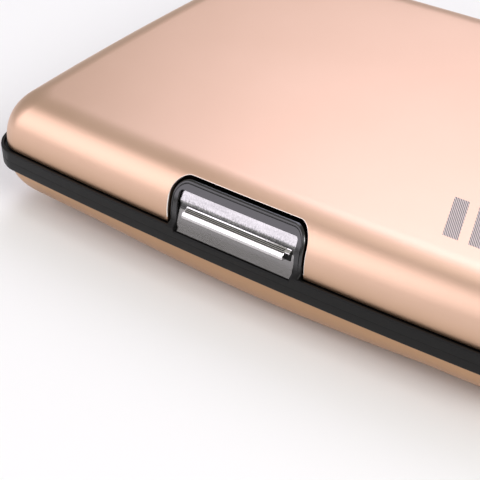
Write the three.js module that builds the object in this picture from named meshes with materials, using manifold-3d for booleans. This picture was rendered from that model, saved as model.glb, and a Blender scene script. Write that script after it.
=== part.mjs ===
// A hard-shell card wallet: two pressed aluminium shells on black moulded frames, hinged along the
// rear, with a chromed thumb latch at the front and an accordion of card leaves inside.
// Millimetres, +Z up. Origin: bottom centre. +X runs along the length and +Y to the hinge.
import * as THREE from "three";
import { mergeVertices } from "three/addons/utils/BufferGeometryUtils.js";
import Module from "manifold-3d";

const wasm = await Module();
wasm.setup();

// ---------------------------------------------------------------- driving dimensions

const LENGTH = 110;
const DEPTH = 75;
const HEIGHT = 20;
const BOW_LONG = 1.4; // how far the long edges fall back between their middle and their ends
const BOW_SHORT = 1.6; // the same on the short edges
const CORNER = 6.5; // plan radius of the band's corners
const CORNER_FALL = 0.42; // share of an inset that the corner radius gives up
const CORNER_STEPS = 3; // a path takes two steps in an arc for each of these
const LONG_STEPS = 10;
const SHORT_STEPS = 6;

const BAND_LOW = 8.2;
const BAND_HIGH = 11.75;
const GAP = 0.15; // between pieces of one body
const SHUT_GAP = 0.2; // between the band and the closed lid

const SHELL_INSET = 0.95; // the shells stand this far inside the band
const SHELL_WALL = 0.8;
const ROLL_WIDTH = 7.3; // how far in the lid's edge rolls before its flat top
const BASE_ROLL_WIDTH = 11; // the same for the base, whose edge is softer
const BASE_RIM = BAND_LOW - 0.05;
const LID_RIM = BAND_HIGH + SHUT_GAP;

const FRAME_WALL = 1.2;
const FRAME_LIP = 3; // how far each frame reaches into its shell
const LIP_INSET = SHELL_INSET + SHELL_WALL + GAP;
const LIP_TAPER = 0.6;
const BASE_LIP_TAPER = 1.05;
const FRAME_INNER = LIP_INSET + LIP_TAPER + FRAME_WALL;

const HINGE_Y = 36;
const HINGE_Z = 11.7;
const KNUCKLE_R = 1.5;
const HINGE_BORE_R = 0.62;
const HINGE_PIN_R = 0.55;
const HINGE_HALF = 34; // half the length of the hinge
const HINGE_CUT_HALF = 34.6; // half the length of the cut-out around it
const HINGE_CUT_HIGH = 13.6; // edge of the lid shell over the hinge
const HINGE_CUT_LOW = 9.9; // top of the band under the hinge
const KNUCKLE_ENDS = [-34, -20.8, -7, 7, 20.8, 34];
const KNUCKLE_GAP = 0.4;
const REAR_WALL = [32.9, 34.1]; // walls of both frames just inside the hinge

const NOTCH_HALF = 13;
const NOTCH_HIGH = 18.95;
const NOTCH_CORNER = 2.8;
const TOWER_HALF = 12.6;
const TOWER_HIGH = 18.5;
const TOWER_CORNER = 2.4;
const TOWER_BACK = -32.3;
const WINDOW_HALF = 11.1;
const WINDOW_HIGH = 17.2;
const WINDOW_LOW = 10.5;
const SILL_HIGH = 11.05;
const SILL_BACK = -36.9;

const PIVOT_Y = -34.9;
const PIVOT_Z = 11.75;
const LATCH_BORE_R = 0.58;
const LATCH_PIN_R = 0.5;
const LATCH_PIN_HALF = 12;
const COVER_HALF = 10.9;
const COVER_WALL = 0.55;
const RIDGE_HALF = 9.6;
const LEVER_HALF = 8.5;
const TAIL_HALF = 10.6;
const TAIL_LOW = 11.2;
const TAIL_HIGH = 12.4;
const HOOK_HALF = 7.5;

const SPRING_WIRE = 0.3;
const SPRING_R = 0.85;
const SPRING_FROM = 8.8; // the coil runs outwards along the pin from here
const SPRING_TURNS = 2.75;
const SPRING_TAIL = 1.6; // length of the leg on the lever's tail
const SPRING_POST = 3; // length of the leg on the tower's lug
const SPRING_PITCH = 0.5;

const LINER_WALL = 0.6;
const LINER_INSET = 8.9;
const BASE_LINER_INSET = 12.1;
const PANEL_WALL = 0.4;
const POCKETS_LOW = 2; // top of the lower card panel
const POCKETS_HIGH = 18; // underside of the upper card panel
const LEAF_SHARES = [0.2, 0.35, 0.5, 0.65, 0.8]; // heights of the leaves between the two panels
const LEAF_WALL = 0.5;
const LEAF_HALF = 45;
const LEAF_FRONT = -28;
const LEAF_REAR = 29.5;
const GUSSET_WALL = 0.3;
const GUSSET_FOLD = 2; // how far each pleat folds in between two leaves
const GUSSET_CLEAR = 0.75; // from a leaf's edge to the middle of the film beside it

// ---------------------------------------------------------------- materials

const finish = (color, roughness, metalness) => new THREE.MeshStandardMaterial({ color, roughness, metalness });
const ANODISED = finish(0xe3bca6, 0.42, 0.9);
const BLACK = finish(0x232323, 0.45, 0);
const CHROME = finish(0xdcdcde, 0.08, 1);
const STEEL = finish(0xa9abad, 0.3, 1);
const LINER = finish(0x2a2a2c, 0.6, 0);
const FABRIC = finish(0x1d1d1f, 0.85, 0);

// ---------------------------------------------------------------- geometry helpers

// A closed mesh of three.js geometry as a solid for cutting and joining.
function solid(geometry) {
  const bare = geometry.clone();
  bare.deleteAttribute("normal");
  bare.deleteAttribute("uv");
  const merged = mergeVertices(bare, 1e-4);
  const vertProperties = merged.attributes.position.array;
  const triVerts = new Uint32Array(merged.index.array);
  return new wasm.Manifold(new wasm.Mesh({ numProp: 3, vertProperties, triVerts }));
}

function geometryOf(made) {
  const mesh = made.getMesh();
  const geometry = new THREE.BufferGeometry();
  geometry.setAttribute("position", new THREE.BufferAttribute(mesh.vertProperties, 3));
  geometry.setIndex(new THREE.BufferAttribute(mesh.triVerts, 1));
  geometry.computeVertexNormals();
  return geometry;
}

// The plan outline, inset from the band's edge: a rounded rectangle whose four sides are bowed.
function outline(inset) {
  const halfX = LENGTH / 2 - inset;
  const halfY = DEPTH / 2 - inset;
  const radius = CORNER - CORNER_FALL * inset;
  const corners = [[1, -1], [1, 1], [-1, 1], [-1, -1]];
  const arcs = corners.map(([right, rear], index) => {
    const arc = new THREE.Path();
    const from = ((index - 1) * Math.PI) / 2;
    arc.absarc(right * (halfX - radius), rear * (halfY - radius), radius, from, from + Math.PI / 2);
    return arc.getPoints(CORNER_STEPS);
  });
  const points = arcs.flatMap((arc, index) => {
    const from = arc[arc.length - 1];
    const to = arcs[(index + 1) % 4][0];
    const steps = index % 2 ? LONG_STEPS : SHORT_STEPS;
    const side = Array.from({ length: steps - 1 }, (_, step) => from.clone().lerp(to, (step + 1) / steps));
    return [...arc, ...side];
  });
  return points.map(({ x, y }) => {
    const fallY = (BOW_LONG / (DEPTH / 2)) * ((2 * x) / LENGTH) ** 2;
    const fallX = (BOW_SHORT / (LENGTH / 2)) * ((2 * y) / DEPTH) ** 2;
    return new THREE.Vector2(x * (1 - fallX), y * (1 - fallY));
  });
}

// Skins a run of [inset, height] levels. An open run is capped at both ends, and a closed one
// makes a ring. The levels run so that the material lies to their left.
function skin(levels, closed = false) {
  const rings = levels.map(([inset, height]) => outline(inset).map(({ x, y }) => [x, y, height]));
  const count = rings[0].length;
  const vertices = rings.flat();
  const triangles = [];
  const bands = closed ? rings.length : rings.length - 1;
  for (let band = 0; band < bands; band += 1) {
    const low = band * count;
    const high = ((band + 1) % rings.length) * count;
    for (let index = 0; index < count; index += 1) {
      const next = (index + 1) % count;
      triangles.push(low + index, low + next, high + next);
      triangles.push(low + index, high + next, high + index);
    }
  }
  if (!closed) {
    const last = (rings.length - 1) * count;
    const first = vertices.push([0, 0, levels[0][1]]) - 1;
    const final = vertices.push([0, 0, levels[levels.length - 1][1]]) - 1;
    for (let index = 0; index < count; index += 1) {
      const next = (index + 1) % count;
      triangles.push(first, next, index);
      triangles.push(final, last + index, last + next);
    }
  }
  const geometry = new THREE.BufferGeometry();
  geometry.setAttribute("position", new THREE.Float32BufferAttribute(vertices.flat(), 3));
  geometry.setIndex(triangles);
  geometry.computeVertexNormals();
  return geometry;
}

// Levels of a quarter-ellipse roll from a rim at one height to a flat face at another.
function roll(rimInset, rimHeight, width, faceHeight, steps) {
  return Array.from({ length: steps + 1 }, (_, step) => {
    const turn = (step / steps) * (Math.PI / 2);
    const inset = rimInset + width * (1 - Math.cos(turn));
    return [inset, rimHeight + (faceHeight - rimHeight) * Math.sin(turn)];
  });
}

function box([x0, x1], [y0, y1], [z0, z1]) {
  const geometry = new THREE.BoxGeometry(x1 - x0, y1 - y0, z1 - z0);
  return geometry.translate((x0 + x1) / 2, (y0 + y1) / 2, (z0 + z1) / 2);
}

// A block between near and far from the middle, on the right (1) or the left (-1).
function across(side, near, far, ys, zs) {
  return box(side < 0 ? [-far, -near] : [near, far], ys, zs);
}

// A rod along X.
function rod(radius, x0, x1, y, z, sides = 16) {
  const geometry = new THREE.CylinderGeometry(radius, radius, x1 - x0, sides);
  return geometry.rotateZ(Math.PI / 2).translate((x0 + x1) / 2, y, z);
}

// A side profile of [y, z] points, extruded along X between x0 and x1.
function profileAlongX(points, x0, x1) {
  const shape = new THREE.Shape(points.map(([y, z]) => new THREE.Vector2(y, z)));
  const geometry = new THREE.ExtrudeGeometry(shape, { depth: x1 - x0, bevelEnabled: false });
  const axes = new THREE.Matrix4().makeBasis(
    new THREE.Vector3(0, 1, 0),
    new THREE.Vector3(0, 0, 1),
    new THREE.Vector3(1, 0, 0),
  );
  return geometry.applyMatrix4(axes).translate(x0, 0, 0);
}

// A front outline of half-width half, from low to high with rounded upper corners, run along Y.
function archAlongY(half, low, high, radius, y0, y1) {
  const shape = new THREE.Shape();
  shape.moveTo(-half, low);
  shape.lineTo(half, low);
  shape.absarc(half - radius, high - radius, radius, 0, Math.PI / 2);
  shape.absarc(-half + radius, high - radius, radius, Math.PI / 2, Math.PI);
  const options = { depth: y1 - y0, bevelEnabled: false, curveSegments: 5 };
  const geometry = new THREE.ExtrudeGeometry(shape, options);
  return geometry.rotateX(Math.PI / 2).translate(0, y1, 0);
}

const joined = (pieces) => pieces.map(solid).reduce((whole, piece) => whole.add(piece));
const cut = (body, cutters) => cutters.map(solid).reduce((whole, piece) => whole.subtract(piece), body);

// ---------------------------------------------------------------- shells

const INNER_INSET = SHELL_INSET + SHELL_WALL;
const hingeCut = (low, high) => box([-HINGE_CUT_HALF, HINGE_CUT_HALF], [REAR_WALL[1] - 0.4, 40], [low, high]);

const lidOuter = roll(SHELL_INSET, LID_RIM, ROLL_WIDTH, HEIGHT, 7);

function lidShell() {
  const inner = roll(INNER_INSET, LID_RIM, ROLL_WIDTH - SHELL_WALL, HEIGHT - SHELL_WALL, 6);
  const pan = solid(skin([...inner.reverse(), ...lidOuter]));
  const notch = archAlongY(NOTCH_HALF, 0, NOTCH_HIGH, NOTCH_CORNER, -45, -25);
  return geometryOf(cut(pan, [notch, hingeCut(0, HINGE_CUT_HIGH)]));
}

function baseShell() {
  const outer = roll(SHELL_INSET, BASE_RIM, BASE_ROLL_WIDTH, 0, 8);
  const inner = roll(INNER_INSET, BASE_RIM, BASE_ROLL_WIDTH - SHELL_WALL, SHELL_WALL, 7);
  return skin([...outer.reverse(), ...inner]);
}

// ---------------------------------------------------------------- frames and hinge

const knuckleSpans = KNUCKLE_ENDS.slice(1).map((end, index) => [
  KNUCKLE_ENDS[index] + (index ? KNUCKLE_GAP / 2 : 0),
  end - (index < KNUCKLE_ENDS.length - 2 ? KNUCKLE_GAP / 2 : 0),
]);
const knucklesFrom = (first) => knuckleSpans.filter((_, index) => index % 2 === first);
const hingeBore = () => rod(HINGE_BORE_R, -50, 50, HINGE_Y, HINGE_Z);
const latchBore = () => rod(LATCH_BORE_R, -LATCH_PIN_HALF - 0.1, LATCH_PIN_HALF + 0.1, PIVOT_Y, PIVOT_Z);

function tower() {
  const arch = archAlongY(TOWER_HALF, BAND_HIGH - 1, TOWER_HIGH, TOWER_CORNER, -45, TOWER_BACK);
  return solid(arch).intersect(solid(skin([[SHELL_INSET, BAND_HIGH - 1], ...lidOuter])));
}

function baseFrame() {
  const band = solid(
    skin(
      [
        [FRAME_INNER, BAND_LOW - FRAME_LIP],
        [LIP_INSET + BASE_LIP_TAPER, BAND_LOW - FRAME_LIP],
        [LIP_INSET, BAND_LOW],
        [0.3, BAND_LOW],
        [0, BAND_LOW + 0.35],
        [0, BAND_HIGH - 0.25],
        [0.25, BAND_HIGH],
        [FRAME_INNER, BAND_HIGH],
      ],
      true,
    ),
  );
  const opened = cut(band, [hingeCut(HINGE_CUT_LOW, 20)]);
  const wall = box([-HINGE_CUT_HALF - 1, HINGE_CUT_HALF + 1], REAR_WALL, [BAND_LOW - FRAME_LIP, BAND_HIGH]);
  const knuckles = knucklesFrom(0).flatMap(([x0, x1]) => [
    rod(KNUCKLE_R, x0, x1, HINGE_Y, HINGE_Z),
    box([x0, x1], [HINGE_Y - 1.4, HINGE_Y + 0.4], [HINGE_CUT_LOW - 0.5, HINGE_Z]),
  ]);
  const whole = opened.add(tower()).add(joined([wall, ...knuckles]));
  const lugs = [-1, 1].map((side) => across(side, 10.3, WINDOW_HALF + 0.5, [-34.9, -34.25], [14, 14.8]));
  const windowed = cut(whole, [
    box([-WINDOW_HALF, WINDOW_HALF], [SILL_BACK, -25], [WINDOW_LOW, WINDOW_HIGH]),
    box([-WINDOW_HALF, WINDOW_HALF], [-45, -25], [SILL_HIGH, WINDOW_HIGH]),
  ]);
  return geometryOf(cut(windowed.add(joined(lugs)), [latchBore(), hingeBore()]));
}

function lidFrame() {
  const low = LID_RIM + 0.1;
  const high = LID_RIM + FRAME_LIP;
  const ring = solid(
    skin(
      [
        [FRAME_INNER, low],
        [LIP_INSET, low],
        [LIP_INSET + LIP_TAPER, high],
        [FRAME_INNER, high],
      ],
      true,
    ),
  );
  const opened = cut(ring, [
    hingeCut(0, 20),
    box([-NOTCH_HALF - 0.3, NOTCH_HALF + 0.3], [-45, -25], [0, 20]),
  ]);
  const wall = box([-HINGE_CUT_HALF - 1, HINGE_CUT_HALF + 1], REAR_WALL, [low, high]);
  const cheek = [
    [-34.6, low],
    [-34.6, 15],
    [-33.2, 17],
    [-30.4, 17.6],
    [-30.4, low],
  ];
  const cheekFrom = NOTCH_HALF + 0.3;
  const cheeks = [-cheekFrom - FRAME_WALL, cheekFrom].map((x0) => profileAlongX(cheek, x0, x0 + FRAME_WALL));
  const cross = box([-NOTCH_HALF - 1, NOTCH_HALF + 1], [-31.6, -30.4], [low, 18]);
  const knuckles = knucklesFrom(1).flatMap(([x0, x1]) => [
    rod(KNUCKLE_R, x0, x1, HINGE_Y, HINGE_Z),
    box([x0, x1], [REAR_WALL[1] - 0.3, HINGE_Y], [HINGE_Z + 0.6, HINGE_Z + 1.5]),
  ]);
  return geometryOf(cut(opened.add(joined([wall, ...cheeks, cross, ...knuckles])), [hingeBore()]));
}

// ---------------------------------------------------------------- latch

// The thumb scoop of the chromed cover, from its top edge down: [y, z].
const SCOOP = [
  [-34.15, 17],
  [-35, 15.5],
  [-35.7, 14.4],
  [-36.1, 13.6],
  [-36.45, 12.6],
  [-36.76, 11.03],
];

function latchCover() {
  const back = SCOOP.map(([y, z]) => [y + COVER_WALL, z - 0.1]).reverse();
  const plate = profileAlongX([...SCOOP, ...back], -COVER_HALF, COVER_HALF);
  const ridge = profileAlongX(
    [
      [-35.3, 14.75],
      [-36.42, 14.55],
      [-36.88, 13.85],
      [-36.88, 13.7],
      [-36.5, 13.5],
      [-35.9, 13.45],
    ],
    -RIDGE_HALF,
    RIDGE_HALF,
  );
  return geometryOf(joined([plate, ridge]));
}

function latchLever() {
  const arm = profileAlongX(
    [
      [-33.5, 16.5],
      [-34.3, 15.25],
      [-35, 14.15],
      [-35.4, 13.3],
      [-35.7, 12.5],
      [-35.85, 11.75],
      [-35.6, 11.1],
      [-34.9, 10.8],
      [-34.2, 11.1],
      [-34, 12.6],
      [-33.9, 13.8],
      [-33.4, 15.1],
      [-33, 15.5],
      [-33, 16.5],
    ],
    -LEVER_HALF,
    LEVER_HALF,
  );
  const tail = profileAlongX(
    [
      [-34.4, TAIL_LOW],
      [-32.7, TAIL_LOW],
      [-32.7, TAIL_HIGH],
      [-34.1, TAIL_HIGH],
    ],
    -LEVER_HALF,
    LEVER_HALF,
  );
  const wings = [-1, 1].map((side) =>
    across(side, LEVER_HALF - 0.5, TAIL_HALF, [-33.6, -32.7], [TAIL_LOW, TAIL_HIGH]),
  );
  const hook = box([-HOOK_HALF, HOOK_HALF], [-33.2, -32.8], [15.7, 16.5]);
  return geometryOf(cut(joined([arm, tail, ...wings, hook]), [latchBore()]));
}

function strikePlate() {
  const ledge = [
    [-32.6, 15],
    [-31.9, 15],
    [-31.9, 12.8],
    [-31.65, 12.8],
    [-31.65, 15.35],
    [-32.6, 15.35],
  ];
  return profileAlongX(ledge, -HOOK_HALF, HOOK_HALF);
}

// A torsion spring round the latch pin: one leg lies on the lever's tail, and the other stands
// behind a lug inside the tower.
class SpringPath extends THREE.Curve {
  constructor(side) {
    super();
    this.side = side;
    this.coil = 2 * Math.PI * SPRING_R * SPRING_TURNS;
  }

  getPoint(share, target = new THREE.Vector3()) {
    const along = share * (SPRING_TAIL + this.coil + SPRING_POST) - SPRING_TAIL;
    const turned = Math.min(Math.max(along, 0), this.coil) / SPRING_R;
    const angle = Math.PI / 2 + turned;
    const x = SPRING_FROM + (SPRING_PITCH * turned) / (2 * Math.PI);
    const straight = Math.min(along, 0) + Math.max(along - this.coil, 0);
    const y = PIVOT_Y + SPRING_R * Math.cos(angle) - straight * Math.sin(angle);
    const z = PIVOT_Z + SPRING_R * Math.sin(angle) + straight * Math.cos(angle);
    return target.set(this.side * x, y, z);
  }
}

function latchSpring(side) {
  const wire = new THREE.Shape();
  wire.absarc(0, 0, SPRING_WIRE / 2, 0, 2 * Math.PI);
  const extrudePath = new SpringPath(side);
  const options = { steps: 60, extrudePath, curveSegments: 3, bevelEnabled: false };
  return new THREE.ExtrudeGeometry(wire, options);
}

// ---------------------------------------------------------------- inside

const leafHeights = LEAF_SHARES.map((share) => POCKETS_LOW + share * (POCKETS_HIGH - POCKETS_LOW));

const liner = (inset, low) => skin([[inset, low], [inset, low + LINER_WALL]]);

function sheetAt(height, wall) {
  const radius = 2;
  const shape = new THREE.Shape();
  shape.absarc(LEAF_HALF - radius, LEAF_FRONT + radius, radius, -Math.PI / 2, 0);
  shape.absarc(LEAF_HALF - radius, LEAF_REAR - radius, radius, 0, Math.PI / 2);
  shape.absarc(-LEAF_HALF + radius, LEAF_REAR - radius, radius, Math.PI / 2, Math.PI);
  shape.absarc(-LEAF_HALF + radius, LEAF_FRONT + radius, radius, Math.PI, (3 * Math.PI) / 2);
  const geometry = new THREE.ExtrudeGeometry(shape, { depth: wall, bevelEnabled: false, curveSegments: 4 });
  return geometry.translate(0, 0, height - wall / 2);
}

// The zigzag of a pleated film as a closed [across, height] outline, its folds pointing inwards.
function pleats(edge) {
  const joints = [POCKETS_LOW + 0.1, ...leafHeights, POCKETS_HIGH - 0.1];
  const middle = joints.flatMap((height, index) => {
    const fold = [edge - GUSSET_FOLD, (height + joints[index + 1]) / 2];
    return index < joints.length - 1 ? [[edge, height], fold] : [[edge, height]];
  });
  const shifted = (offset) => middle.map(([across, height]) => [across + offset, height]);
  return [...shifted(GUSSET_WALL / 2), ...shifted(-GUSSET_WALL / 2).reverse()];
}

function sideGusset(side) {
  const shape = new THREE.Shape(
    pleats(LEAF_HALF + GUSSET_CLEAR).map(([across, height]) => new THREE.Vector2(across, height)),
  );
  const depth = LEAF_REAR - LEAF_FRONT - 1;
  const geometry = new THREE.ExtrudeGeometry(shape, { depth, bevelEnabled: false });
  geometry.rotateX(Math.PI / 2).translate(0, LEAF_REAR - 1, 0);
  return side < 0 ? geometry.rotateZ(Math.PI).translate(0, LEAF_FRONT + LEAF_REAR - 1, 0) : geometry;
}

function rearGusset() {
  const half = LEAF_HALF - GUSSET_FOLD - 0.5;
  return profileAlongX(pleats(LEAF_REAR + GUSSET_CLEAR), -half, half);
}

// ---------------------------------------------------------------- assembly

const wallet = new THREE.Group();

function add(parent, name, geometry, material) {
  const mesh = new THREE.Mesh(geometry, material);
  mesh.name = name;
  parent.add(mesh);
}

const base = new THREE.Group();
add(base, "base_shell", baseShell(), ANODISED);
add(base, "base_frame", baseFrame(), BLACK);
add(base, "base_liner", liner(BASE_LINER_INSET, SHELL_WALL + 0.1), LINER);
add(base, "lower_card_panel", sheetAt(POCKETS_LOW - PANEL_WALL / 2, PANEL_WALL), FABRIC);
add(base, "hinge_pin", rod(HINGE_PIN_R, -HINGE_HALF, HINGE_HALF, HINGE_Y, HINGE_Z), STEEL);
add(base, "latch_pin", rod(LATCH_PIN_R, -LATCH_PIN_HALF, LATCH_PIN_HALF, PIVOT_Y, PIVOT_Z), STEEL);
add(base, "latch_spring_right", latchSpring(1), STEEL);
add(base, "latch_spring_left", latchSpring(-1), STEEL);
add(base, "right_gusset", sideGusset(1), FABRIC);
add(base, "left_gusset", sideGusset(-1), FABRIC);
add(base, "rear_gusset", rearGusset(), FABRIC);
wallet.add(base);

const lid = new THREE.Group();
add(lid, "lid_shell", lidShell(), ANODISED);
add(lid, "lid_frame", lidFrame(), BLACK);
add(lid, "lid_liner", liner(LINER_INSET, HEIGHT - SHELL_WALL - 0.1 - LINER_WALL), LINER);
add(lid, "upper_card_panel", sheetAt(POCKETS_HIGH + PANEL_WALL / 2, PANEL_WALL), FABRIC);
add(lid, "strike_plate", strikePlate(), STEEL);
wallet.add(lid);

const latch = new THREE.Group();
add(latch, "latch_lever", latchLever(), BLACK);
add(latch, "latch_cover", latchCover(), CHROME);
wallet.add(latch);

const leaves = new THREE.Group();
leafHeights.forEach((height, index) => {
  add(leaves, `card_leaf_${index + 1}`, sheetAt(height, LEAF_WALL), FABRIC);
});
wallet.add(leaves);

export default wallet;
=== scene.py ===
"""A hard-shell card wallet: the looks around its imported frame.

Lengths in this file are millimetres, in the frame's own axes, and become metres in make().
+X runs along the wallet, +Y to the hinge and +Z up. The front, with the latch, faces -Y.
"""

import math

import bmesh
import bpy
import numpy as np
from mathutils import Euler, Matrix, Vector


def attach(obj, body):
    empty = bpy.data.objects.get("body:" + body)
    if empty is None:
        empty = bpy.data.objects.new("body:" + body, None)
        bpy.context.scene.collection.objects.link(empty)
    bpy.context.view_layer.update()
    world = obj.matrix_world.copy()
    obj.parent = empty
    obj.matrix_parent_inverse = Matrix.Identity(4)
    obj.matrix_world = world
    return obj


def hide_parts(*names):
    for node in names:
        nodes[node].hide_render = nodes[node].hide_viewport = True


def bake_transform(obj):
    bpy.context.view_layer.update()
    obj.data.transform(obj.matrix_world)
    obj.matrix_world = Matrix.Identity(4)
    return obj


MM = 0.001

# ---------------------------------------------------------------- sizes

HALF_X = 55.0
HALF_Y = 37.5
BOW_LONG = 1.4
BOW_SHORT = 1.6
CORNER = 5.5
CORNER_FALL = 0.32
BASE_CORNER_FALL = 0.15
LONG_STRAIGHT = 35.6

BAND_LOW = 8.2
BAND_HIGH = 11.75
SHELL_INSET = 0.95
SHELL_WALL = 0.8
ROLL_WIDTH = 7.42
ROLL_POWER = 2.2
BASE_ROLL_MIDDLE = 8.8
BASE_ROLL_ENDS = 13.5
BASE_ROLL_SPAN = 32.0
BASE_RIM = 8.15
LID_RIM = 11.7
HEIGHT = 20.0
LID_SHADED = 3.5
LACQUERED = (BAND_HIGH + 0.4, BAND_HIGH + 2)

SPLIT_HIGH = 14.5
SPLIT_EASE_FRONT = 12
SPLIT_EASE_REAR = 7
NOTCH_HALF = 13.0
NOTCH_HIGH = 18.95
NOTCH_CORNER = 2.8
HINGE_Y = 36.0
HINGE_Z = 11.7
KNUCKLE_R = 1.5
HINGE_CUT_HALF = 34.6
HINGE_CUT_HIGH = 13.6
HINGE_CUT_LOW = 9.9
KNUCKLE_ENDS = (-34, -20.8, -7, 7, 20.8, 34)
KNUCKLE_GAP = 0.4
REAR_WALL = (32.9, 34.1)
FRAME_FOOT = 5.2
FRAME_INNER = 3.7
LID_FRAME_TALL = 3.0
CHEEK_WALL = 1.2
LATCH_WALL = (-31.6, -30.4)

SEAM_HALF = 12.02
SEAM_HIGH = 18.1
SEAM_CORNER = 2.1
TOWER_BACK = -32.3
TOWER_FOOT = 10.9
FLARE = (11.6, 12.35)
WINDOW_HALF = 11.15
WINDOW_HIGH = 17.2
WINDOW_CORNER = 0.5
SILL_CORNER = 0.45
WINDOW_LOW = 10.5
SILL_HIGH = 11.05

REST_INNER = 10.3
REST_DEPTH = (-34.9, -34.25)
REST_HEIGHT = (14, 14.8)

COVER_HALF = 11.0
COVER_WALL = 0.55
SCOOP = ((-34.5, 17), (-34.95, 16.3), (-35.36, 15.66), (-35.43, 15.3), (-35.5, 14.9), (-35.72, 14.4))
SCOOP += ((-36.0, 13.6), (-36.38, 12.5), (-36.97, 11))
PIVOT = (-34.9, 11.75)
SPRING_WIRE_R = 0.15
SPRING_R = 0.85
SPRING_FROM = 8.8
SPRING_PITCH = 0.5
SPRING_TURNS = 2.75
SPRING_TAIL = 1.6
SPRING_POST = 3.0
RIDGE_HALF = 9.6
RIDGE_FILLET = ((-35.5, 15.06), (-35.55, 15.02), (-35.62, 14.95), (-35.68, 14.92))
RIDGE_SLOPE = 0.35
RIDGE_GROOVES = (-35.78, -36.04, -36.3)
GROOVE_HALF = 0.075
GROOVE_DEPTH = 0.16
FIN_SLOPE = 0.35
RIDGE_NOSE = ((-36.44, 14.66), (-36.5, 14.64), (-36.63, 14.515), (-36.752, 14.357), (-36.858, 14.187))
RIDGE_NOSE += ((-36.919, 14.05), (-36.93, 13.93), (-36.9, 13.78), (-36.8, 13.64), (-36.6, 13.54))
RIDGE_NOSE += ((-35.85, 13.45),)
RIDGE_CORE = (-36.2, 14.2)
SHELF_END = ((-36.1, 14.75), (-36.16, 14.62), (-36.05, 14.55), (-35.6, 14.66))
# Side outline of the black block that stands in for the shade under the shelf's end: painted shade.
RIDGE_SHADE_BLOCK = ((-35.8, 14.62), (-36.14, 13.5), (-35.7, 13.5), (-35.4, 14.62))
# Heights over which the chrome's painted shade fades out, darker below.
CHROME_SHADE_RISE = (13.2, 14.4)
# Heights and ragged edge of the painted reflection, a grainy dark band on the plate above the ridge.
CHROME_REFLECTION = (16.35, 17.15)
REFLECTION_RAGGED = 2.4

MARK_LEFT = 29.5
MARK_FRONT = -26.3
MARK_REAR = -17.3
MARK_LEAN = -0.45
MARK_PITCH = 4.2
MARK_FILL = 0.6
MARK_COUNT = 4
MARK_HATCH = 0.42

POCKETS_LOW = 2.0
POCKETS_HIGH = 18.0
LEAF_SHARES = (0.2, 0.35, 0.5, 0.65, 0.8)
LEAF_HALF = 45.0
LEAF_FRONT = -28.0
LEAF_REAR = 29.5
LEAF_WALL = 0.34
FILM_FRONT = -27.0
SIDE_FOLD = 45.22
REAR_FOLD = 30.2
HEM_WALL = 0.5
HEM_DEPTH = 3.0
HEM_HALF = 43.4
STITCHES = 30
STITCH_PITCH = 2.85
STITCH_LENGTH = 2.0
FOLD_DEPTH = 5.0

# ---------------------------------------------------------------- mesh helpers


def make(name, points, faces, material):
    """A smooth-shaded mesh object from points in millimetres."""
    mesh = bpy.data.meshes.new(name)
    mesh.from_pydata([tuple(MM * value for value in point) for point in points], [], faces)
    mesh.validate()
    mesh.update()
    item = bpy.data.objects.new(name, mesh)
    bpy.context.scene.collection.objects.link(item)
    mesh.materials.append(material)
    mesh.polygons.foreach_set("use_smooth", [True] * len(mesh.polygons))
    return item


def weld(item, gap=0.0005):
    """Joins the coincident points of a piece and turns every face outwards."""
    work = bmesh.new()
    work.from_mesh(item.data)
    bmesh.ops.remove_doubles(work, verts=work.verts, dist=gap * MM)
    bmesh.ops.recalc_face_normals(work, faces=work.faces)
    work.to_mesh(item.data)
    work.free()
    item.data.update()


def bevel(item, width, segments=3, angle=40):
    """Rounds every edge that is sharper than angle, and keeps the flats flat."""
    modifier = item.modifiers.new("round", "BEVEL")
    modifier.width = width * MM
    modifier.segments = segments
    modifier.limit_method = "ANGLE"
    modifier.angle_limit = math.radians(angle)
    modifier.harden_normals = False
    modifier.use_clamp_overlap = True
    normals = item.modifiers.new("normals", "WEIGHTED_NORMAL")
    normals.keep_sharp = True


def crease(item, angle=35):
    """Shades a piece smooth, with a hard line at each edge sharper than angle."""
    item.data.set_sharp_from_angle(angle=math.radians(angle))


class Parts:
    """Collects grids and prisms into one mesh."""

    def __init__(self):
        self.points = []
        self.faces = []

    def grid(self, rows, closed=False, skip=None):
        """Quads between successive rows of points. closed joins each row's ends."""
        start = len(self.points)
        count = len(rows[0])
        for row in rows:
            self.points.extend(row)
        for r in range(len(rows) - 1):
            for c in range(count if closed else count - 1):
                if skip and skip(r, c):
                    continue
                near, far = start + r * count, start + (r + 1) * count
                after = (c + 1) % count
                self.faces.append((near + c, near + after, far + after, far + c))

    def fan(self, row, centre):
        """Triangles from a closed row of points to its centre."""
        start = len(self.points)
        self.points.extend([*row, centre])
        count = len(row)
        for c in range(count):
            self.faces.append((start + c, start + (c + 1) % count, start + count))

    def sweep(self, sections):
        """A closed outline carried through a run of sections, with both ends capped."""
        start = len(self.points)
        count = len(sections[0])
        self.grid([list(section) for section in sections], closed=True)
        self.faces.append(tuple(range(start, start + count))[::-1])
        last = start + (len(sections) - 1) * count
        self.faces.append(tuple(range(last, last + count)))

    def prism(self, outline, x0, x1):
        """A side outline of (y, z) points, run along X."""
        self.sweep([[(x, y, z) for y, z in outline] for x in (x0, x1)])

    def box(self, xs, ys, zs):
        self.prism([(ys[0], zs[0]), (ys[1], zs[0]), (ys[1], zs[1]), (ys[0], zs[1])], *xs)

    def rod(self, radius, x0, x1, y, z, chamfer=0.15, sides=48):
        """A rod along X with chamfered ends."""
        turns = [2 * math.pi * k / sides for k in range(sides)]
        small = radius - chamfer
        stations = ((x0, small), (x0 + chamfer, radius), (x1 - chamfer, radius), (x1, small))
        self.sweep([[(x, y + r * math.cos(t), z + r * math.sin(t)) for t in turns] for x, r in stations])

    def piece(self, name, material):
        item = make(name, self.points, self.faces, material)
        weld(item)
        return item


# ---------------------------------------------------------------- the plan outline


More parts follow.
